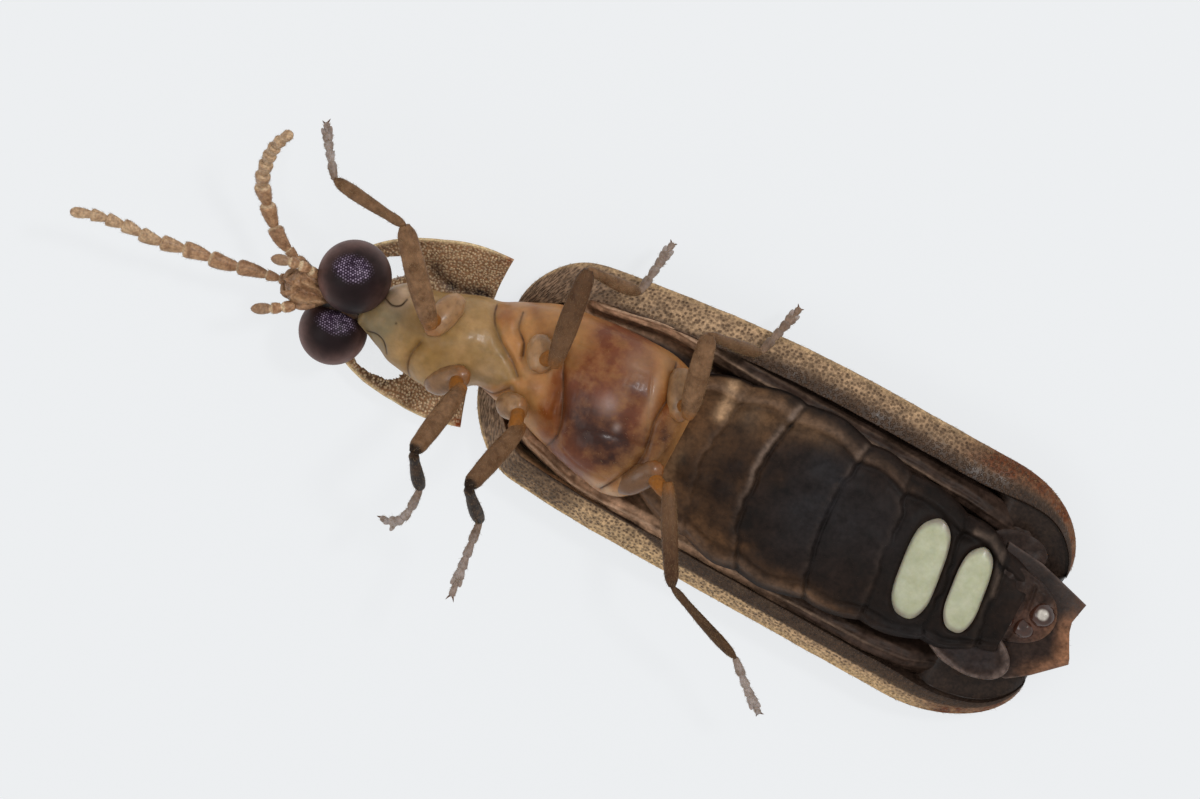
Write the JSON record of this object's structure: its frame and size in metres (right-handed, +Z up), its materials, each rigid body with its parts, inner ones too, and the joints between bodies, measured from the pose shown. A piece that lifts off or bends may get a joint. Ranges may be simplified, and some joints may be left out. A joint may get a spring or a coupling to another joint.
{
  "type": "firefly",
  "caption": "Male firefly, life size, lying on its back: wing cases, folded hind wings, neck shield with two clear panes, big eyes, feelers, legs and light organs as separate plates.",
  "frame": {"origin": "on the floor, under the middle of the whole model's bounding box", "axes": "+X along the hind body towards the head, +Y to the beetle's own right, +Z up, which is out of its belly because it lies on its back"},
  "size_m": [0.0139, 0.0053, 0.0032],
  "materials": {
    "grainy_shell": "finely pitted brown shell with a golden rim",
    "pale_shell": "finely pitted grey brown shell, dark brown inside",
    "cream_skin": "smooth cream skin",
    "amber_shell": "glossy amber brown shell",
    "dark_shell": "satin black brown belly plates",
    "brown_shell": "satin brown shell",
    "limb_shell": "satin grey brown limbs with short hairs",
    "eye_lens": "glossy purple black facets",
    "light_organ": "pale green white, waxy",
    "clear_pane": "clear cuticle",
    "wing_film": "smoky folded wing film"
  },
  "bodies": {
    "root": {"wing_case_left": "pale_shell", "hind_wing_left": "wing_film", "shield_pane_left": "clear_pane", "eye_left": "eye_lens", "antenna_left": "limb_shell", "palp_left": "limb_shell", "leg_front_left": "limb_shell", "leg_mid_left": "limb_shell", "leg_hind_left": "limb_shell", "wing_case_right": "pale_shell", "hind_wing_right": "wing_film", "shield_pane_right": "clear_pane", "eye_right": "eye_lens", "antenna_right": "limb_shell", "palp_right": "limb_shell", "leg_front_right": "limb_shell", "leg_mid_right": "limb_shell", "leg_hind_right": "limb_shell", "scutellum": "brown_shell", "neck_shield": "grainy_shell", "neck_and_breast": "cream_skin", "hind_chest": "amber_shell", "belly": "dark_shell", "lantern_front": "light_organ", "lantern_rear": "light_organ", "tail_plate": "brown_shell", "head": "brown_shell"}
  },
  "joints": []
}
